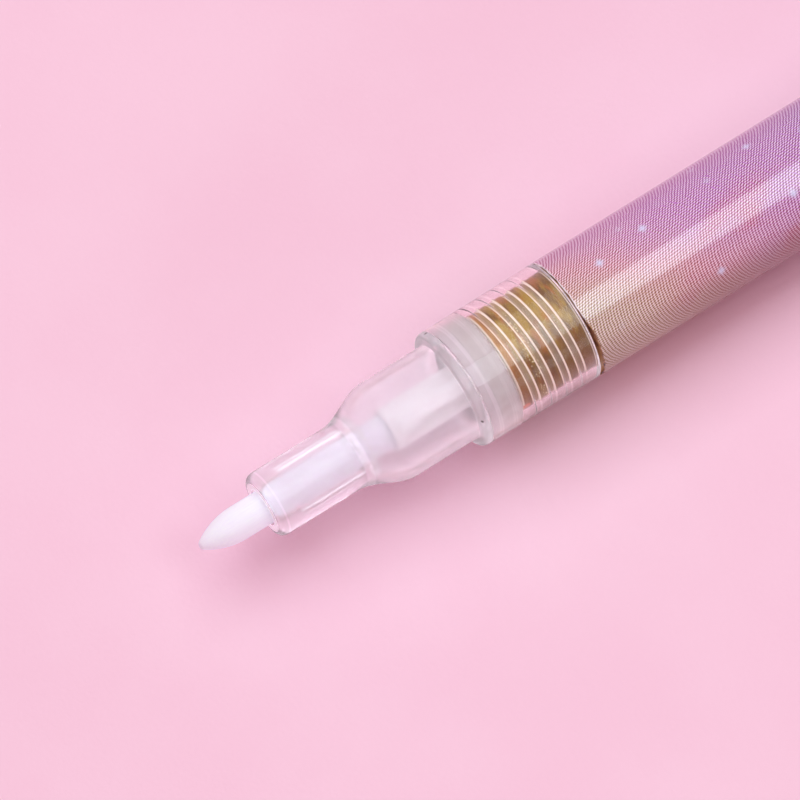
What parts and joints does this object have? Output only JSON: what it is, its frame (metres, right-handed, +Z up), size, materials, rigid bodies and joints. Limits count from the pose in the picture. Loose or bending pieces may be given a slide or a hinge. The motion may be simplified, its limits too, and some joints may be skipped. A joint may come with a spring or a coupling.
{
  "type": "nail art pen",
  "caption": "Slim valve-action paint marker for nails: fibre nib in a clear nose and threaded collar, film-wrapped barrel, sprung valve, mixing ball, and a pull-off cap posted on the tail.",
  "frame": {"origin": "middle of the pen's length with the cap posted, on the surface that it lies on, under its axis", "axes": "+X along the pen from the nib to the cap, +Z up, +Y across"},
  "size_m": [0.1538, 0.011, 0.0109],
  "materials": {
    "pressed_fibre": "white pressed fibre, matt",
    "clear_plastic": "clear polypropylene, slightly milky",
    "natural_plastic": "natural polypropylene, translucent",
    "seal_rubber": "pale soft seal",
    "spring_steel": "drawn stainless wire",
    "ball_steel": "polished steel",
    "printed_film": "printed film, gold to pink to purple, satin",
    "gold_paint": "metallic gold paint",
    "gold_plastic": "gold-coloured moulded plastic"
  },
  "bodies": {
    "pen_body": {"front_section": "clear_plastic", "seal_ring": "seal_rubber", "valve_body": "natural_plastic", "valve_seat": "seal_rubber", "spring_cage": "natural_plastic", "valve_spring": "spring_steel", "barrel": "natural_plastic", "label": "printed_film", "paint_lining": "gold_paint", "tail_plug": "gold_plastic"},
    "nib_assembly": {"nib": "pressed_fibre", "valve_plunger": "natural_plastic"},
    "ball": {"mixing_ball": "ball_steel"},
    "cap": {"cap_shell": "gold_plastic", "cap_inner_seal": "natural_plastic"}
  },
  "joints": [
    {"name": "nib_press", "type": "slide", "parent": "pen_body", "child": "nib_assembly", "axis": [1, 0, 0], "range_m": [0, 0.0018], "stiffness_N_per_m": 400, "springref_m": -0.0015, "deforming": ["valve_spring"]},
    {"name": "ball_roll", "type": "slide", "parent": "pen_body", "child": "ball", "axis": [1, 0, 0], "range_m": [-0.0175, 0.0522]},
    {"name": "cap_pull", "type": "slide", "parent": "pen_body", "child": "cap", "axis": [1, 0, 0], "range_m": [0, 0.012]}
  ]
}
